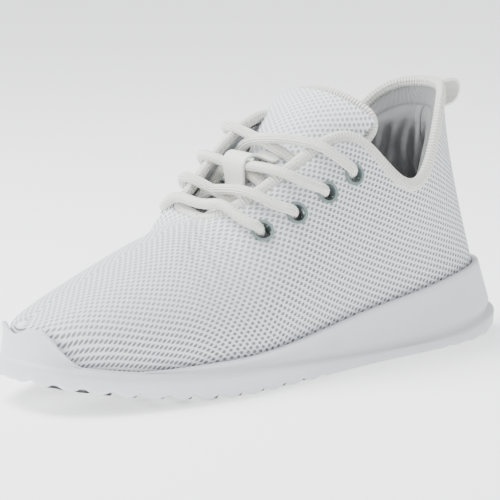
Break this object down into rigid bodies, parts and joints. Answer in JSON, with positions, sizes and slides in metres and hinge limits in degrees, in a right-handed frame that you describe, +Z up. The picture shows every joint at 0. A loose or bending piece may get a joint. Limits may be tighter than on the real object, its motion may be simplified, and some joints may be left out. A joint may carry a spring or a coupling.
{
  "type": "running shoe",
  "caption": "Laced running shoe with a knitted mesh upper, foam midsole, rubber outsole pads, padded collar, hinging tongue and lift-out sockliner.",
  "frame": {"origin": "on the ground plane under the centre of the shoe, midway between toe tip and heel", "axes": "+Z up from the ground, -Y towards the toe, +Y towards the heel, +X towards the outer (lateral) side of a left shoe"},
  "size_m": [0.0952, 0.2736, 0.1265],
  "materials": {
    "foam": "smooth moulded foam, pale grey-white",
    "rubber": "matt dark outsole rubber",
    "board": "stitched fibre board",
    "sock_foam": "open foam",
    "sock_cover": "fine knitted cover, grey",
    "mesh": "knitted white mesh with staggered holes",
    "satin": "grey satin lining",
    "stiffener": "thin heat-formed sheet",
    "padding": "soft padding",
    "binding": "cream knitted edge tape",
    "tape": "woven off-white tape",
    "eyelet": "satin pale grey-green paint",
    "washer": "satin pale grey paint",
    "lace": "cream woven cord",
    "aglet": "clear-coated plastic tip"
  },
  "bodies": {
    "shoe": {"midsole": "foam", "outsole_pads_forefoot": "rubber", "outsole_pads_heel": "rubber", "strobel_board": "board", "upper": "mesh", "vamp_lining": "satin", "toe_puff": "stiffener", "heel_counter": "stiffener", "collar_foam": "padding", "collar_lining": "satin", "collar_binding": "binding", "heel_seam_tape": "tape", "heel_pull_loop": "tape", "eyestay_lateral": "stiffener", "eyelets_lateral": "eyelet", "eyelet_washers_lateral": "washer", "eyestay_medial": "stiffener", "eyelets_medial": "eyelet", "eyelet_washers_medial": "washer", "shoelace": "lace", "aglet_lateral": "aglet", "aglet_medial": "aglet"},
    "tongue_flap": {"tongue": "mesh", "tongue_foam": "padding", "tongue_lining": "satin", "tongue_binding": "binding", "lace_keeper": "tape"},
    "sockliner": {"sockliner_foam": "sock_foam", "sockliner_cover": "sock_cover"}
  },
  "joints": [
    {"name": "tongue_hinge", "type": "hinge", "parent": "shoe", "child": "tongue_flap", "pos_m": [0, -0.049, 0.0585], "axis": [1, 0, 0], "range_deg": [-6, 0], "deforming": ["lace_keeper"]},
    {"name": "sockliner_tip", "type": "hinge", "parent": "shoe", "child": "sockliner", "pos_m": [0, -0.122, 0.025], "axis": [1, 0, 0], "range_deg": [0, 3.5]}
  ]
}
